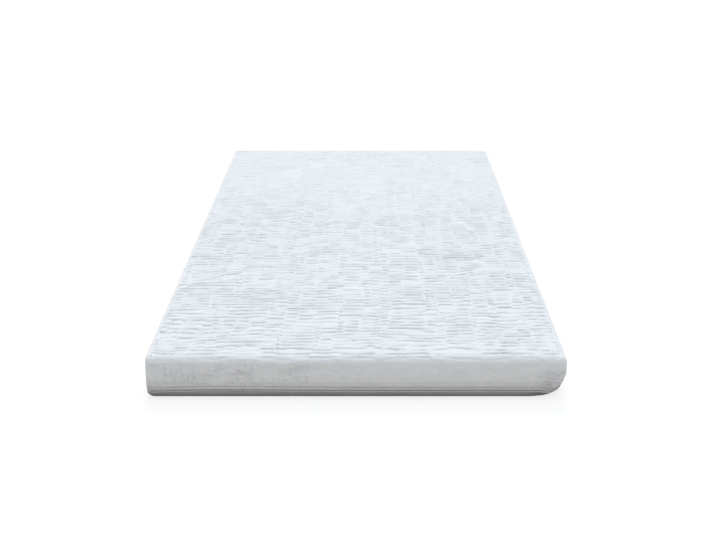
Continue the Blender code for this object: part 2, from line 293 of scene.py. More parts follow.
# ---------------------------------------------------------------------------------------------
# The border
# ---------------------------------------------------------------------------------------------

WHOLE = 2.0 * (WIDTH + LENGTH)
LEFT_CORNER = 2.0 * LENGTH + WIDTH  # the front's left corner, as a distance round the border


def from_tuck(distance):
    """Distance along the border from the tucked corner, the shorter way."""
    distance %= WHOLE
    return min(distance, WHOLE - distance)


def corner_radius(corner, height):
    top, foot = CORNERS[corner][2:]
    down = (EDGE_HEIGHT - height) / (EDGE_HEIGHT - FOOT_ROLL)
    return top + (foot - top) * ease(down) ** 4


def foot_roll(distance):
    return FOOT_ROLL + TUCKED_ROLL * (1.0 - ease(from_tuck(distance) / TUCK_REACH))


def sag(distance):
    """The closing line isn't level: it rises along the front and dips at the front's corners."""
    along = distance - LEFT_CORNER
    lift = CLOSING_LIFT * math.exp(-(((along - LIFT_PLACE) / LIFT_REACH) ** 2))
    dip = CLOSING_DIP * math.exp(-((along / DIP_REACH) ** 2))
    dip += CLOSING_DROP * near_tuck(distance)
    return CLOSING_SAG * drift(SEEDS["sag"], distance / SAG_COURSE) + lift - dip


def near_tuck(distance):
    """From 1 at the tucked corner to 0 a short way along the border."""
    return 1.0 - ease(from_tuck(distance) / RIM_DROP_REACH)


def rim_height(distance):
    return RIM_HEIGHT - RIM_DROP * near_tuck(distance) + sag(distance)


def belly(height):
    return BELLY * ((height - BELLY_HEIGHT) / (BELLY_HEIGHT - FOOT_ROLL)) ** 2


def outline_point(distance, inset, height):
    """The point at this distance round the border, drawn in by inset from the widest outline."""
    sides = (LENGTH, WIDTH, LENGTH, WIDTH)
    side = 0
    distance %= WHOLE
    while distance > sides[side]:
        distance -= sides[side]
        side += 1
    starts_here = distance < sides[side] / 2.0
    corner = side if starts_here else (side + 1) % 4
    to_corner = distance if starts_here else sides[side] - distance
    radius = max(corner_radius(corner, height) - inset, LEAST_RADIUS)
    along = to_corner - inset
    inward = 0.0
    if to_corner < CORNER_REACH:
        straight = CORNER_REACH - inset - radius
        travelled = (straight + radius * math.pi / 4.0) * (1.0 - to_corner / CORNER_REACH)
        along = CORNER_REACH - inset - travelled
        if travelled > straight:
            turn = (travelled - straight) / radius
            along = radius - radius * math.sin(turn)
            inward = radius - radius * math.cos(turn)
    along += inset
    inward += inset
    if side % 2 == 0:
        x_in, y_in = inward, along
    else:
        x_in, y_in = along, inward
    x_side, y_side = CORNERS[corner][:2]
    return (x_side * (WIDTH / 2.0 - x_in), y_side * (LENGTH / 2.0 - y_in), height)


def border_point(distance, height, depth=0.0):
    """The border's skin at this height, or depth behind it, down the wall and round its foot."""
    foot = foot_roll(distance)
    inset = belly(max(height, FOOT_ROLL))
    if height < foot:
        turn = math.asin((foot - height) / foot)
        inset += foot - (foot - depth) * math.cos(turn)
        height = foot - (foot - depth) * math.sin(turn)
    else:
        inset += depth
    return outline_point(distance, inset, height)


def ruck(distance, height):
    """The cover lies a little unevenly against the border."""
    span = math.sin(math.pi * ease((height - HEM_HEIGHT) / (EDGE_HEIGHT - HEM_HEIGHT)))
    course = (distance + RUCK_SLANT * height) / RUCK_COURSE
    return BORDER_RUCK * span * drift(SEEDS["ruck"], course)


def groove(distance, height, wrinkle):
    """One wrinkle: a soft groove with a low ridge on either side."""
    place, level, half_length, half_width, slope, depth = wrinkle
    turn = math.radians(slope)
    away = distance - place
    rise = height - level
    along = (away * math.cos(turn) + rise * math.sin(turn)) / half_length
    across = (rise * math.cos(turn) - away * math.sin(turn)) / half_width
    if abs(along) >= 1.0 or abs(across) > GROOVE_REACH:
        return 0.0
    dent = math.exp(-across * across) - LIP * math.exp(-((abs(across) - LIP_PLACE) ** 2))
    return depth * dent * (1.0 - along * along) ** 2


def wrinkles(distance, height):
    """All the border's wrinkles here, as a depth."""
    from_left = distance - LEFT_CORNER
    past_tuck = distance if distance < WHOLE / 2.0 else distance - WHOLE
    depth = 0.0
    if from_left > LEFT_START:
        depth += sum(groove(from_left, height, wrinkle) for wrinkle in LEFT_WRINKLES)
    if abs(past_tuck) < TUCK_SPAN:
        depth += sum(groove(past_tuck, height, wrinkle) for wrinkle in TUCK_WRINKLES)
    down = (EDGE_HEIGHT - height) / (EDGE_HEIGHT - HEM_HEIGHT)
    loose = math.sin(math.pi * min(max(down, 0.0), 1.0)) ** 0.5
    along, up = GATHER_SIZE
    gathered = noise.noise(Vector((distance / along, height / up, GATHER_LAYER)))
    return depth + loose * GATHER * gathered


# ---------------------------------------------------------------------------------------------
# The top
# ---------------------------------------------------------------------------------------------

TOP_INSET = EDGE_ROLL + belly(EDGE_HEIGHT - EDGE_ROLL)
REACH_X = WIDTH / 2.0 - TOP_INSET
REACH_Y = LENGTH / 2.0 - TOP_INSET
PITCH = 2.0 * REACH_Y / RIPPLES
LADDERS = len(LADDER_SHARES)
SPARE_RIPPLES = 4  # beyond each end of the top, for the rolled edges


def ladder_edge(number, y):
    """Where one ladder of ripples ends and the next begins, at this y."""
    x = REACH_X * (2.0 * sum(LADDER_SHARES[:number]) / sum(LADDER_SHARES) - 1.0)
    if 0 < number < LADDERS:
        x += LADDER_WANDER * drift(SEEDS["edge"] + number, y / EDGE_COURSE)
        x += LADDER_RAGGED * patchy(number, y, RAGGED_COURSE, LAYERS["ragged"])
    return x


def row_shift(ladder, y):
    """How far this ladder's rows lie from their even places, in ripples."""
    from_end = REACH_Y - abs(y)
    together = patchy(ladder * WIDTH / LADDERS, y, SHIFT_COURSE, LAYERS["shift"])
    own = drift(SEEDS["shift"] + ladder, y / OWN_COURSE)
    return (ROW_SHIFT * together + OWN_SHIFT * own) * ease(from_end / ROW_FADE)


def column_place(column):
    """The ladder that a column of points belongs to and where it stands across it."""
    ladder, place = divmod(column, len(COLUMN_SHARES))
    return (ladder, COLUMN_SHARES[place]) if ladder < LADDERS else (LADDERS - 1, 1.0)


def column_x(column, y):
    ladder, share = column_place(column)
    left = ladder_edge(ladder, y)
    return left + share * (ladder_edge(ladder + 1, y) - left)


def top_height(x, y):
    """The top without its ripples: a low crown and a broad swell, both level at the edges."""
    across = 1.0 - (2.0 * x / WIDTH) ** 2
    along = 1.0 - (2.0 * y / LENGTH) ** 4
    turn = drift(SEEDS["swell"] + 1, y / SWELL_COURSE[1])
    rise = CROWN + SWELL * drift(SEEDS["swell"], x / SWELL_COURSE[0] + turn)
    return EDGE_HEIGHT + rise * across * along


def soft_fold(x, y):
    """Height of the soft folds here, and how near the crest of one it is, from 0 to 1."""
    height = 0.0
    crest = 0.0
    for x_0, y_0, x_1, y_1, tall, half_width in SOFT_FOLDS:
        length = math.hypot(x_1 - x_0, y_1 - y_0)
        along_x, along_y = (x_1 - x_0) / length, (y_1 - y_0) / length
        along = (x - x_0) * along_x + (y - y_0) * along_y
        if not -FOLD_RUN < along < length + FOLD_RUN:
            continue
        across = (x - x_0) * along_y - (y - y_0) * along_x
        across += FOLD_WANDER * drift(x_0 * FOLD_SEED, along / FOLD_COURSE)
        if abs(across) > FOLD_REACH * half_width:
            continue
        run_in = ease((along + FOLD_RUN) / FOLD_FADE)
        run_out = ease((length + FOLD_RUN - along) / FOLD_FADE)
        share = math.exp(-((across / half_width) ** 2)) * (run_in * run_out)
        height += tall * share
        crest = max(crest, share)
    return height, crest


def make_creases():
    """Each crease of each ladder: its depth, width and how it bends, drawn once."""
    draws = random.Random(CREASE_SEED)
    creases = []
    for _ in LADDER_SHARES:
        ladder = []
        for _ in range(RIPPLES + 2 * SPARE_RIPPLES):
            shallow = draws.random() < SHALLOW_ODDS
            own = {name: draws.uniform(*ends) for name, ends in CREASE_RANGES.items()}
            own["depth"] *= SHALLOW if shallow else 1.0
            ladder.append(own)
        creases.append(ladder)
    return creases


CREASES = make_creases()


def along_crease(x, number, course, layer):
    """Smooth unevenness along one crease, nearly the same in its neighbours, about -1 to 1."""
    step, start = CREASE_KIN
    place = Vector((x / course, step * number + start, LAYER_STEP * layer))
    return CREASE_SPAN * noise.noise(place)


def crease_depth(own, number, share, x):
    """Depth of a crease here: it deepens and fades over several ladders."""
    uneven = 1.0 + CREASE_SWING * along_crease(x, number, CREASE_COURSE, LAYERS["depth"])
    return own["depth"] * uneven * (1.0 + own["fade"] * (2.0 * share - 1.0))


def crease_bend(own, number, share, x, ladder):
    """How far a crease lies off its row here, in ripples: a wave, and a bow between the joints."""
    wave = along_crease(x, number, BEND_COURSE, LAYERS["wave"])
    bow = along_crease(BOW_STEP * ladder, number, 1.0, LAYERS["bow"])
    bow *= 4.0 * share * (1.0 - share) - 0.5
    waving, bowed, tilted = BENDS
    return WANDER * (waving * wave + bowed * bow + tilted * own["tilt"] * (share - 0.5))


def ladder_ripple(ladder, share, x, y):
    """Height of one ladder's ripples here, in crease depths."""
    along = (y + REACH_Y) / PITCH + row_shift(ladder, y)
    ripple = math.floor(along)
    time = along - ripple
    number = ripple + SPARE_RIPPLES
    beyond = number + (1 if time >= 0.5 else -1)
    own = CREASES[ladder][number]
    middle = 1.0 - (2.0 * time - 1.0) ** 2
    off = time - 0.5 - crease_bend(own, number, share, x, ladder) * middle * middle
    depth = crease_depth(own, number, share, x)
    beside = crease_depth(CREASES[ladder][beyond], beyond, share, x)
    swell = depth + (beside - depth) * abs(time - 0.5)
    dent = math.exp(-((off / (CREASE_WIDTH * own["width"])) ** 2))
    return PUFF * swell * (1.0 - middle) - depth * dent


def top_ripple(column, y):
    """Height of the ripples at this column of points. y may pass the ends, down the edge."""
    ladder, share = column_place(column)
    x = column_x(column, y)
    height = ladder_ripple(ladder, share, x, y)
    if share == 0.0 and ladder > 0:
        near_end = 1.0 - ease((REACH_Y - abs(y) - END_REACH[0]) / END_REACH[1])
        usual, swing, surer = JOINED
        wander = drift(SEEDS["join"] + ladder, y / JOIN_COURSE)
        joined = ease(usual + swing * wander + surer * near_end)
        height = (height + ladder_ripple(ladder - 1, 1.0, x, y)) / 2.0
        height *= CREASE_LEFT + (1.0 - CREASE_LEFT) * joined
    strength = 1.0 + STRENGTH_SWING * drift(SEEDS["strength"] + ladder, y / STRENGTH_COURSE)
    strength += sum(swing * patchy(x, y, size, layer) for swing, size, layer in STRENGTH_PATCHES)
    strength = min(max(strength, STRENGTH_RANGE[0]), STRENGTH_RANGE[1])
    calm = FAR_CALM * ease((y - FAR_START) / FAR_FADE)
    return CREASE_DEPTH * height * strength * (1.0 - calm)


def top_point(column, y):
    """A point of the top from form, folds and ripples, and how deep in a crease it is, which sets
    the painted shade there.
    """
    x = column_x(column, y)
    fold, crest = soft_fold(x, y)
    ripple = top_ripple(column, y) * (1.0 - FOLD_CALM * crest)
    side = ease((REACH_X - abs(x)) / SIDE_REACH)
    ripple *= EDGE_STRENGTH + (1.0 - EDGE_STRENGTH) * side
    ripple *= ease(math.hypot(REACH_X - abs(x), REACH_Y - abs(y)) / CORNER_CALM)
    return (x, y, top_height(x, y) + fold * side + ripple), shade_share(-ripple)


def shade_share(depth, full_shade_depth=CREASE_SHADE_DEPTH):
    """How deep in a crease or a wrinkle, from 0 on its ridge to 1 where its painted shade is
    darkest.
    """
    return min(max(depth / full_shade_depth, 0.0), 1.0)


# ---------------------------------------------------------------------------------------------
# Meshes
# ---------------------------------------------------------------------------------------------


def add_row(bm, points):
    return [bm.verts.new(point) for point in points]


def add_creased_row(bm, places):
    """Adds a row of points that keep how deep in a crease each is, for the painted shade in the
    creases.
    """
    layer = bm.verts.layers.float.get("crease") or bm.verts.layers.float.new("crease")
    row = add_row(bm, [point for point, _ in places])
    for vertex, (_, share) in zip(row, places):
        vertex[layer] = share
    return row


def loft(bm, rows, closed):
    """Joins rows of equal numbers of points with quads."""
    for upper, lower in zip(rows, rows[1:]):
        count = len(upper)
        for i in range(count if closed else count - 1):
            j = (i + 1) % count
            bm.faces.new((upper[i], lower[i], lower[j], upper[j]))


def sharpen(row):
    """A crisp fold along a closed row of points."""
    for i in range(len(row)):
        pair = {row[i], row[(i + 1) % len(row)]}
        for edge in row[i].link_edges:
            if set(edge.verts) == pair:
                edge.smooth = False


def add_piece(name, bm, material, node):
    """Links a mesh as a piece that rides on the part and stands for one of its solids."""
    bmesh.ops.recalc_face_normals(bm, faces=bm.faces)
    mesh = bpy.data.meshes.new(name)
    bm.to_mesh(mesh)
    bm.free()
    for face in mesh.polygons:
        face.use_smooth = True
    mesh.materials.append(material)
    piece = bpy.data.objects.new(name, mesh)
    bpy.context.scene.collection.objects.link(piece)
    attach(piece, "root")
    if node:
        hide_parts(node)
    return piece


def add_top(bm):
    """The puckered top. Returns its rim from the tuck on: each station's distance round the
    border, its point, the point after it if the border has none there, and its column if it
    stands on one of the two ends.

    Along the two long sides only every second row of the top goes on down the border.
    """
    last = LADDERS * len(COLUMN_SHARES)
    ys = [REACH_Y * (2.0 * i / (TOP_ROWS - 1) - 1.0) for i in range(TOP_ROWS)]
    grid = [add_creased_row(bm, [top_point(column, y) for column in range(last + 1)]) for y in ys]
    loft(bm, grid, closed=False)
    rim = []
    for i in range(0, TOP_ROWS - 1, 2):
        distance = LENGTH * (0.5 + ys[i] / REACH_Y / 2.0)
        rim.append((distance, grid[i][-1], grid[i + 1][-1], None))
    for i in range(last, 0, -1):
        distance = LENGTH + WIDTH * (0.5 - column_x(i, REACH_Y) / REACH_X / 2.0)
        rim.append((distance, grid[-1][i], None, i))
    for i in range(TOP_ROWS - 1, 0, -2):
        distance = LENGTH + WIDTH + LENGTH * (0.5 - ys[i] / REACH_Y / 2.0)
        rim.append((distance, grid[i][0], grid[i - 1][0], None))
    for i in range(last):
        distance = LEFT_CORNER + WIDTH * (0.5 + column_x(i, -REACH_Y) / REACH_X / 2.0)
        rim.append((distance, grid[0][i], None, i))
    return rim


def edge_dent(station, down):
    """How far the border is dented by the top's creases, this far down from the rim."""
    if down >= EDGE_RUN:
        return 0.0
    _, vertex, _, column = station
    x, y, z = vertex.co
    if column is None:
        from_corner = REACH_Y - abs(y)
        dent = EDGE_HEIGHT - z
    else:
        from_corner = REACH_X - abs(x)
        dent = -top_ripple(column, y + math.copysign(down, y))
    run = (1.0 - ease(down / EDGE_RUN)) * (1.0 - ROLL_CALM[0] * ease(down / ROLL_CALM[1]))
    return dent * run * ease(from_corner / CORNER_CALM)


def join_rim(bm, rim, row):
    """Joins the top's rim, which has points between some of its stations, to the row below."""
    count = len(rim)
    for i in range(count):
        j = (i + 1) % count
        between = [rim[i][2]] if rim[i][2] else []
        bm.faces.new([rim[i][1], row[i], row[j], rim[j][1], *between])


def recess_share(distance):
    """The cover steps in behind the zip, and lies plain where the zip has ended."""
    return ease((from_tuck(distance) - RECESS_START) / (RECESS_FULL - RECESS_START))


def make_cover(material):
    """Top, border and fill in one closed form."""
    bm = bmesh.new()
    rim = add_top(bm)
    stations = [station[0] for station in rim]
    rows = []
    for turn in ROLL_TURNS:
        angle = math.radians(turn)
        row = []
        for station in rim:
            s = station[0]
            height = EDGE_HEIGHT - EDGE_ROLL * (1.0 - math.cos(angle))
            dent = edge_dent(station, EDGE_ROLL * angle)
            dip = dent + wrinkles(s, height) * ease(turn / WRINKLES_FULL)
            inset = TOP_INSET - (EDGE_ROLL - dip) * math.sin(angle)
            height = EDGE_HEIGHT - EDGE_ROLL + (EDGE_ROLL - dip) * math.cos(angle)
            row.append((outline_point(s, inset, height), shade_share(dip, WRINKLE_SHADE_DEPTH)))
        rows.append(row)
    for height in WALL_HEIGHTS:
        down = EDGE_ROLL * math.pi / 2.0 + EDGE_HEIGHT - EDGE_ROLL - height
        row = []
        for station in rim:
            s = station[0]
            dent = edge_dent(station, down)
            depth = ruck(s, height) + wrinkles(s, height) + dent
            row.append((border_point(s, height, depth), shade_share(depth, WRINKLE_SHADE_DEPTH)))
        rows.append(row)
    # the rows keep how deep in a wrinkle each point is, for the painted shade there
    creased = [add_creased_row(bm, row) for row in rows]
    rows = [[border_point(s, HEM_HEIGHT + HEM_SUPPORT + sag(s)) for s in stations]]
    rows.append([border_point(s, HEM_HEIGHT + sag(s)) for s in stations])
    hem_row = len(creased) + 1
    rows.append(
        [
            border_point(s, HEM_HEIGHT - HEM_EDGE + sag(s), RECESS * recess_share(s))
            for s in stations
        ]
    )
    rows.append(
        [border_point(s, rim_height(s) + GAP, RECESS * recess_share(s)) for s in stations]
    )
    inside = BASE_CLOTH + GAP
    rows.append([border_point(s, rim_height(s) + GAP, inside) for s in stations])
    for share, slack in zip(FOOT_SHARES[1:], FOOT_SLACK):
        rows.append([border_point(s, rim_height(s) * share, inside + slack) for s in stations])
    rows = creased + [add_row(bm, row) for row in rows]
    join_rim(bm, rim, rows[0])
    loft(bm, rows, closed=True)
    sharpen(rows[hem_row])
    sharpen(rows[hem_row + 1])
    bm.faces.new(rows[-1])
    cover = add_piece("cover", bm, material, "upper_cover")
    return cover


def fine_stations(start, end):
    """Even distances from start to end round the border, both included."""
    count = round((end - start) / FINE_STEP)
    return [start + (end - start) * i / count for i in range(count + 1)]


def make_base(material):
    """The grey pan: rounded cloth edge at its rim, rolled up the foot."""
    bm = bmesh.new()
    stations = fine_stations(0.0, WHOLE)[:-1]
    soft = [
        sum(CLOTH_DENT * drift(seed, s / course) for seed, course in CLOTH_COURSES)
        for s in stations
    ]
    outer = [
        [
            border_point(s, rim_height(s) * share, max(dent * math.sin(math.pi * share), 0.0))
            for s, dent in zip(stations, soft)
        ]
        for share in CLOTH_SHARES
    ]
    crown = [
        [border_point(s, rim_height(s), BASE_CLOTH * share) for s in stations]
        for share in RIM_SHARES
    ]
    inner = [
        [border_point(s, rim_height(s) * share, BASE_CLOTH) for s in stations]
        for share in LINING_SHARES
    ]
    rows = [add_row(bm, row) for row in inner[::-1] + crown[::-1] + outer]
    loft(bm, rows, closed=True)
    bm.faces.new(rows[0])
    bm.faces.new(rows[-1])
    return add_piece("base_cloth", bm, material, "base_cover")


def strip_mesh(upper, lower, sink, thickness, bulge=0.0):
    """A woven strip of the zip with a slightly rounded face, between two edges' heights."""
    bm = bmesh.new()
    stations = fine_stations(ZIP_END, WHOLE - ZIP_END)
    face = []
    for share in STRIP_SHARES:
        swell = bulge * math.sin(math.pi * share)
        face.append(
            [
                border_point(s, upper(s) + (lower(s) - upper(s)) * share, sink - swell)
                for s in stations
            ]
        )
    back = [
        [border_point(s, edge(s), sink + thickness) for s in stations] for edge in (lower, upper)
    ]
    rows = [add_row(bm, row) for row in face + back]
    loft(bm, rows + [rows[0]], closed=False)
    for end in (0, -1):
        bm.faces.new([row[end] for row in rows])
    return bm


def bead(bm, centre, along, up, out, sizes):
    """A small rounded lozenge: half-sizes along, up and out."""
    half_long, half_tall, half_deep = sizes
    ends = [centre - along * half_long, centre + along * half_long]
    ring = [
        centre + up * half_tall,
        centre + out * half_deep,
        centre - up * half_tall,
        centre - out * half_deep,
    ]
    tips = [bm.verts.new(point) for point in ends]
    ring = [bm.verts.new(point) for point in ring]
    for i in range(4):
        bm.faces.new((tips[0], ring[i], ring[(i + 1) % 4]))
        bm.faces.new((tips[1], ring[(i + 1) % 4], ring[i]))


def border_axes(distance, height, depth):
    """The point on the border, the way along it, the way up its skin and the way out of it."""
    centre = Vector(border_point(distance, height, depth))
    along = Vector(border_point(distance + AXES_STEP, height, depth)) - centre
    up = Vector(border_point(distance, height + AXES_STEP / 2.0, depth)) - centre
    along.normalize()
    up.normalize()
    return centre, along, up, along.cross(up)


def add_teeth(bm):
    """The coil's teeth, one from above and one from below in turn."""
    count = int((WHOLE - 2.0 * ZIP_END) / TOOTH_PITCH)
    for i in range(count):
        s = ZIP_END + TOOTH_PITCH * (i + 0.5)
        side = 1.0 if i % 2 == 0 else -1.0
        height = CHAIN_HEIGHT + sag(s) + side * TOOTH_RISE
        centre, along, up, out = border_axes(s, height, CHAIN_SINK + TOOTH_SINK)
        lean = up + along * (side * TOOTH_LEAN)
        lean.normalize()
        bead(bm, centre, lean, lean.cross(out), out, TOOTH_SIZES)


def make_zip(tape, chain):
    """The closed zip's two tapes and its chain."""
    half = CHAIN_WIDTH / 2.0
    upper_tape = strip_mesh(
        lambda s: HEM_HEIGHT - HEM_EDGE - GAP + sag(s),
        lambda s: CHAIN_HEIGHT + half + GAP + sag(s),
        TAPE_SINK,
        TAPE_THICKNESS,
        TAPE_BULGES[0],
    )
    lower_tape = strip_mesh(
        lambda s: CHAIN_HEIGHT - half - GAP + sag(s),
        lambda s: rim_height(s) + GAP,
        TAPE_SINK,
        TAPE_THICKNESS,
        TAPE_BULGES[1],
    )
    coil = strip_mesh(
        lambda s: CHAIN_HEIGHT + half + sag(s),
        lambda s: CHAIN_HEIGHT - half + sag(s),
        CHAIN_SINK + COIL_SINK,
        CHAIN_THICKNESS - COIL_SINK,
    )
    add_teeth(coil)
    return [
        add_piece("zip_tape_top", upper_tape, tape, "zip_tape_upper"),
        add_piece("zip_tape_bottom", lower_tape, tape, "zip_tape_lower"),
        add_piece("zip_coil", coil, chain, "zip_chain"),
    ]


def make_stitches(thread):
    """The row of stitches that holds the hem to the zip's upper tape."""
    bm = bmesh.new()
    count = int((WHOLE - 2.0 * ZIP_END) / STITCH_PITCH)
    for i in range(count):
        s = ZIP_END + STITCH_PITCH * (i + 0.5)
        height = HEM_HEIGHT + STITCH_HEIGHT + sag(s)
        centre, along, up, out = border_axes(s, height, STITCH_RADIUS * STITCH_SINK)
        sizes = (STITCH_LENGTH / 2.0, STITCH_RADIUS * STITCH_SPREAD, STITCH_RADIUS)
        bead(bm, centre, along, up, out, sizes)
    return add_piece("hem_stitches", bm, thread, None)


# ---------------------------------------------------------------------------------------------
# Materials
# ---------------------------------------------------------------------------------------------

SHEEN_ROUGHNESS = 0.6
TONES = (0.3, 0.7)  # a colour runs from dark to light between these two values of a noise
WEAVE_TONES = (0.2, 0.9)
WEAR_TONES = (0.3, 0.75)

WHITE = ((0.752, 0.780, 0.796), (0.792, 0.812, 0.832))
CREASE_SHADE_TINT = (0.69, 0.69, 0.705)  # painted shade where a crease is deepest
# the same knit as the top, darker on the border: painted shade on the sides
BORDER_SHADED_WHITE = ((0.655, 0.655, 0.660), (0.725, 0.723, 0.724))
BORDER_TOP = (0.0985, 0.0880)  # heights between which the top's white passes into the border's darker white of painted shade

# How the border darkens towards its foot with painted shade, the second row being the doubled
# hem's own warmer grey: the heights between which a tint comes in, and the tint
BORDER_SHADE_AND_HEM_TONE = (
    (0.080, 0.035, (0.93, 0.93, 0.92)),
    (0.0475, 0.0435, (0.90, 0.905, 0.870)),
    (0.0375, 0.0335, (0.85, 0.85, 0.85)),
    (0.0300, 0.0120, (0.45, 0.45, 0.45)),
)
FIBRE = ((0.66, 0.68, 0.70), (0.84, 0.86, 0.88))
FIBRE_SHARE = 0.10

RUCK_HEIGHTS = (0.100, 0.088)  # where the border's rucks begin
RUCK_PLACES = (0.15, -0.25, 0.35)  # from x to x they grow, and how strong they are before that
TUCK_X = (0.405, 0.460)  # the tucked corner's gathers
TUCK_Y = (-0.880, -0.935)
GATHER_HEIGHTS = (0.085, 0.060)
# painted shade in the tucked corner's gathers
GATHER_SHADE = (0.90, 0.90, 0.91)

TAPE = ((0.55, 0.55, 0.53), (0.75, 0.75, 0.725))
TAPE_SHADE = (0.0290, 0.0252, (0.73, 0.73, 0.73))  # painted shade below these heights, as for the border
THREAD = ((0.66, 0.67, 0.68), (0.78, 0.79, 0.80))
COIL = ((0.29, 0.29, 0.29), (0.41, 0.41, 0.405))

BASE = ((0.250, 0.250, 0.250), (0.310, 0.310, 0.310))
# painted shade darkening the base towards the floor: heights between which it comes in, and its
# tint
BASE_SHADES = (
    (0.0175, 0.0130, (0.66, 0.66, 0.66)),
    (0.0140, 0.0060, (0.20, 0.20, 0.20)),
)
# painted shade where the base rolls under at the tucked corner
BASE_TUCK_SHADE_X = (0.395, 0.440)
BASE_TUCK_SHADE = (0.55, 0.55, 0.55)

FLOOR = ((0.197, 0.195, 0.193), (0.205, 0.203, 0.201))


class Shading:
    """A Principled material and short calls that add nodes to it."""

    def __init__(self, name, roughness, sheen=0.0, specular=0.3):
        self.material = bpy.data.materials.new(name)
        self.material.use_nodes = True
        self.tree = self.material.node_tree
        self.shader = self.tree.nodes["Principled BSDF"]
        self.shader.inputs["Roughness"].default_value = roughness
        self.shader.inputs["Specular IOR Level"].default_value = specular
        self.shader.inputs["Sheen Weight"].default_value = sheen
        self.shader.inputs["Sheen Roughness"].default_value = SHEEN_ROUGHNESS
        self.place = self.tree.nodes.new("ShaderNodeTexCoord").outputs["Object"]
        self.normal = None

    def link(self, source, target):
        self.tree.links.new(source, target)

    def between(self, axis, start, end, least=0.0):
        """From least at one place on an axis to 1 at another."""
        split = self.tree.nodes.new("ShaderNodeSeparateXYZ")
        self.link(self.place, split.inputs["Vector"])
        node = self.tree.nodes.new("ShaderNodeMapRange")
        node.interpolation_type = "SMOOTHSTEP"
        node.inputs["From Min"].default_value = start
        node.inputs["From Max"].default_value = end
        node.inputs["To Min"].default_value = least
        self.link(split.outputs[axis], node.inputs["Value"])
        return node.outputs["Result"]

    def level(self, start, end):
        """From 0 at one height to 1 at another."""
        return self.between("Z", start, end)

    def corner(self, x_ends, y_ends):
        """1 at the tucked corner and 0 away from it."""
        return self.math("MULTIPLY", self.between("X", *x_ends), self.between("Y", *y_ends))

    def stretched(self, scale):
        """Object coordinates, scaled unlike along x, y and z."""
        node = self.tree.nodes.new("ShaderNodeMapping")
        node.inputs["Scale"].default_value = scale
        self.link(self.place, node.inputs["Vector"])
        return node.outputs["Vector"]

    def noise(self, scale, detail=2.0, roughness=0.5):
        """Smooth noise with about this many spots to the metre along x, y and z."""
        node = self.tree.nodes.new("ShaderNodeTexNoise")
        node.inputs["Scale"].default_value = 1.0
        node.inputs["Detail"].default_value = detail
        node.inputs["Roughness"].default_value = roughness
        self.link(self.stretched(scale), node.inputs["Vector"])
        return node.outputs["Fac"]

    def bands(self, scale, direction):
        """Even bands across a direction."""
        node = self.tree.nodes.new("ShaderNodeTexWave")
        node.wave_type = "BANDS"
        node.bands_direction = direction
        node.inputs["Scale"].default_value = 1.0
        node.inputs["Detail"].default_value = 0.0
        self.link(self.stretched(scale), node.inputs["Vector"])
        return node.outputs["Fac"]

    def painted(self, name):
        """A value that the mesh's points carry."""
        node = self.tree.nodes.new("ShaderNodeAttribute")
        node.attribute_name = name
        return node.outputs["Fac"]

    def math(self, operation, first, second):
        node = self.tree.nodes.new("ShaderNodeMath")
        node.operation = operation
        for socket, value in zip(node.inputs, (first, second)):
            if isinstance(value, (int, float)):
                socket.default_value = value
            else:
                self.link(value, socket)
        return node.outputs["Value"]

    def ramp(self, factor, colors, places=TONES):
        """From one colour to another as the factor goes from place to place."""
        node = self.tree.nodes.new("ShaderNodeValToRGB")
        for element, place, color in zip(node.color_ramp.elements, places, colors):
            element.position = place
            element.color = (*color, 1.0)
        self.link(factor, node.inputs["Fac"])
        return node.outputs["Color"]

    def mix(self, factor, first, second, blend="MIX"):
        node = self.tree.nodes.new("ShaderNodeMix")
        node.data_type = "RGBA"
        node.blend_type = blend
        sockets = (node.inputs[0], node.inputs[6], node.inputs[7])  # the factor and both colours
        for socket, value in zip(sockets, (factor, first, second)):
            if isinstance(value, (int, float)):
                socket.default_value = value
            elif isinstance(value, tuple):
                socket.default_value = (*value, 1.0)
            else:
                self.link(value, socket)
        return node.outputs[2]

    def tint(self, factor, color, tint):
        return self.mix(factor, color, tint, "MULTIPLY")

    def bump(self, height, distance, strength=1.0):
        """Adds a layer of bump on top of those before it."""
        node = self.tree.nodes.new("ShaderNodeBump")
        node.inputs["Distance"].default_value = distance
        node.inputs["Strength"].default_value = strength
        self.link(height, node.inputs["Height"])
        if self.normal:
            self.link(self.normal, node.inputs["Normal"])
        self.normal = node.outputs["Normal"]

    def finish(self, color):
        self.link(color, self.shader.inputs["Base Color"])
        if self.normal:
            self.link(self.normal, self.shader.inputs["Normal"])
        return self.material


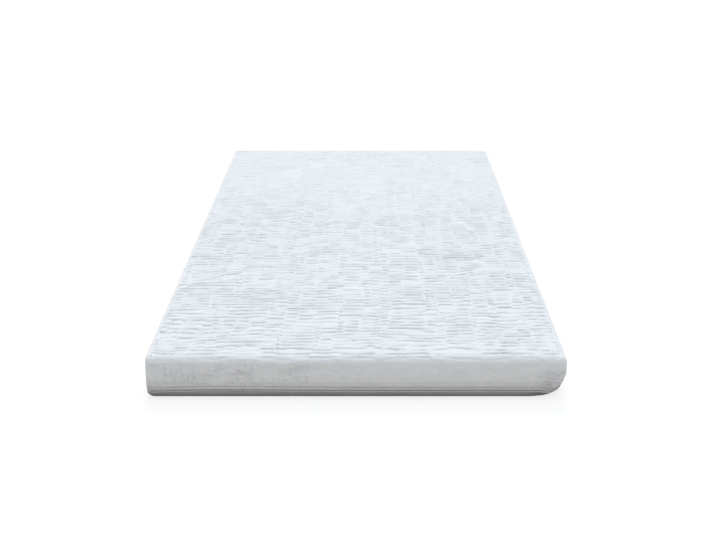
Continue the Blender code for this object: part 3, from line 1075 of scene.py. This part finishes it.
def cover_material():
    """White puckered knit: crepe relief on top, soft rucks on the border, painted shade in the
    creases, a darker border with painted shade deepening towards its foot, the hem's own warmer
    grey, and painted shade in the tucked corner's gathers.
    """
    knit = Shading("white_knit", roughness=0.88, sheen=0.25, specular=0.25)
    color = knit.ramp(knit.noise((7.0, 9.0, 9.0), detail=3.0), WHITE)
    # painted shade in the creases and the border's wrinkles, darkest at their bottoms
    color = knit.tint(knit.painted("crease"), color, CREASE_SHADE_TINT)
    # the border's darker white is painted shade on the sides
    border = knit.ramp(knit.noise((26.0, 26.0, 70.0), detail=3.0), BORDER_SHADED_WHITE)
    color = knit.mix(knit.level(*BORDER_TOP), color, border)
    # painted shade deepening towards the border's foot, and the hem's own warmer grey
    for start, end, tint in BORDER_SHADE_AND_HEM_TONE:
        color = knit.tint(knit.level(start, end), color, tint)
    fibre = knit.noise((420.0, 420.0, 420.0))
    color = knit.mix(FIBRE_SHARE, color, knit.ramp(fibre, FIBRE))
    crepe = knit.noise((45.0, 190.0, 190.0), detail=3.0, roughness=0.6)
    knit.bump(crepe, distance=0.0011, strength=0.7)

    slanted = knit.noise((40.0, 40.0, 80.0))
    upright = knit.noise((75.0, 75.0, 12.0), detail=1.0)
    rucks = knit.math("SUBTRACT", knit.math("ADD", slanted, upright), 1.0)
    loose = knit.math("MULTIPLY", knit.level(*RUCK_HEIGHTS), knit.between("X", *RUCK_PLACES))
    knit.bump(knit.math("MULTIPLY", rucks, loose), distance=0.0085)

    gathers = knit.math("SUBTRACT", knit.noise((38.0, 38.0, 125.0), detail=1.0), 0.5)
    gathered = knit.math("MULTIPLY", knit.corner(TUCK_X, TUCK_Y), knit.level(*GATHER_HEIGHTS))
    knit.bump(knit.math("MULTIPLY", gathers, gathered), distance=0.0120)
    # painted shade in the tucked corner's gathers
    color = knit.tint(gathered, color, GATHER_SHADE)

    knit.bump(knit.noise((160.0, 420.0, 420.0)), distance=0.0004, strength=0.6)
    wales = knit.bands((210.0, 210.0, 0.0), "DIAGONAL")
    courses = knit.bands((0.0, 0.0, 230.0), "Z")
    knit.bump(knit.math("ADD", wales, courses), distance=0.00012, strength=0.5)
    return knit.finish(color)


def tape_material():
    """Grey woven tape with a herringbone rib, and painted shade on its lower part."""
    tape = Shading("zip_tape_weave", roughness=0.75, sheen=0.15)
    weft = tape.bands((330.0, 330.0, 900.0), "DIAGONAL")
    color = tape.ramp(weft, TAPE, WEAVE_TONES)
    start, end, tint = TAPE_SHADE
    # painted shade on the tape's lower part
    color = tape.tint(tape.level(start, end), color, tint)
    tape.bump(weft, distance=0.0002, strength=0.8)
    tape.bump(tape.bands((0.0, 0.0, 700.0), "Z"), distance=0.00015, strength=0.6)
    return tape.finish(color)


def coil_material():
    """Grey nylon, a little worn."""
    coil = Shading("zip_coil_nylon", roughness=0.42, specular=0.5)
    wear = coil.noise((90.0, 90.0, 90.0))
    coil.bump(wear, distance=0.0001, strength=0.4)
    return coil.finish(coil.ramp(wear, COIL, WEAR_TONES))


def base_material():
    """Dark grey knit, with painted shade towards the floor and at the tucked corner."""
    base = Shading("base_knit", roughness=0.85, sheen=0.2)
    color = base.ramp(base.noise((14.0, 14.0, 30.0), detail=3.0), BASE)
    # painted shade towards the floor and at the tucked corner
    for start, end, tint in BASE_SHADES:
        color = base.tint(base.level(start, end), color, tint)
    color = base.tint(base.corner(BASE_TUCK_SHADE_X, TUCK_Y), color, BASE_TUCK_SHADE)
    base.bump(base.noise((120.0, 120.0, 160.0), detail=3.0), distance=0.0006, strength=0.6)
    across = base.bands((300.0, 300.0, 0.0), "DIAGONAL")
    upward = base.bands((0.0, 300.0, 420.0), "DIAGONAL")
    base.bump(base.math("ADD", across, upward), distance=0.00015, strength=0.7)
    return base.finish(color)


def thread_material():
    """Twisted white thread."""
    thread = Shading("white_thread", roughness=0.6, sheen=0.1)
    twist = thread.bands((900.0, 900.0, 900.0), "DIAGONAL")
    thread.bump(twist, distance=0.00008, strength=0.6)
    return thread.finish(thread.ramp(twist, THREAD, WEAVE_TONES))


# ---------------------------------------------------------------------------------------------
# Floor, light and camera
# ---------------------------------------------------------------------------------------------

FLOOR_REACH = 120.0
FLOOR_DROP = 0.0002  # just under the topper
FLOOR_GLOW = 0.80
SURROUND = ((0.94, 0.97, 1.0, 1.0), 0.26)
SUN_TINT = (0.94, 0.975, 1.0)
SUNS = (  # name, strength, width, lean
    ("overhead", 2.02, 90.0, 0.0),
    ("behind", 1.25, 20.0, -42.0),
)
FAR_TINT = (0.94, 0.98, 1.0)
FAR_SIZE = (2.2, 1.2)
FAR_POWER = 0.5
FAR_PLACE = (0.0, 1.45, 1.5)

SENSOR = 36.0
LENS = 55.386
SHIFT = -0.01347
FARTHEST = 200.0
CAMERA_PLACE = (0.02796, -3.26781, 1.20992)
CAMERA_TILT = 69.1052


def make_floor():
    """A plain pale floor that glows a little, so that it stays white."""
    bm = bmesh.new()
    bmesh.ops.create_grid(bm, x_segments=1, y_segments=1, size=FLOOR_REACH)
    mesh = bpy.data.meshes.new("floor")
    bm.to_mesh(mesh)
    bm.free()
    floor = bpy.data.objects.new("floor", mesh)
    floor.location.z = -FLOOR_DROP
    bpy.context.scene.collection.objects.link(floor)
    paint = Shading("floor_white", roughness=0.9, specular=0.0)
    grain = paint.noise((3.0, 3.0, 3.0), detail=1.0)
    paint.shader.inputs["Emission Color"].default_value = (1.0, 1.0, 1.0, 1.0)
    paint.shader.inputs["Emission Strength"].default_value = FLOOR_GLOW
    mesh.materials.append(paint.finish(paint.ramp(grain, FLOOR)))


def make_light():
    """A very wide light overhead, a narrower one from behind, a dim even surround, and a little
    extra on the back end."""
    world = bpy.data.worlds.new("studio")
    bpy.context.scene.world = world
    world.use_nodes = True
    background = world.node_tree.nodes["Background"]
    color, strength = SURROUND
    background.inputs["Color"].default_value = color
    background.inputs["Strength"].default_value = strength
    for name, energy, angle, lean in SUNS:
        lamp = bpy.data.lights.new(name, "SUN")
        lamp.energy = energy
        lamp.angle = math.radians(angle)
        lamp.color = SUN_TINT
        sun = bpy.data.objects.new(name, lamp)
        sun.rotation_euler = (math.radians(lean), 0.0, 0.0)
        bpy.context.scene.collection.objects.link(sun)
    lamp = bpy.data.lights.new("far", "AREA")
    lamp.shape = "RECTANGLE"
    lamp.size, lamp.size_y = FAR_SIZE
    lamp.energy = FAR_POWER
    lamp.color = FAR_TINT
    far = bpy.data.objects.new("far", lamp)
    far.location = FAR_PLACE
    bpy.context.scene.collection.objects.link(far)
    bpy.context.scene.view_settings.view_transform = "Standard"


def make_camera():
    """The photo's camera, fitted to the topper's outline."""
    lens = bpy.data.cameras.new("camera")
    lens.sensor_width = SENSOR
    lens.lens = LENS
    lens.shift_x = SHIFT
    lens.clip_end = FARTHEST
    camera = bpy.data.objects.new("camera", lens)
    camera.location = CAMERA_PLACE
    camera.rotation_euler = (math.radians(CAMERA_TILT), 0.0, 0.0)
    bpy.context.scene.collection.objects.link(camera)
    bpy.context.scene.camera = camera


make_camera()
make_floor()
make_light()
cover = make_cover(cover_material())
zip_pieces = make_zip(tape_material(), coil_material())
stitches = make_stitches(thread_material())
base = make_base(base_material())
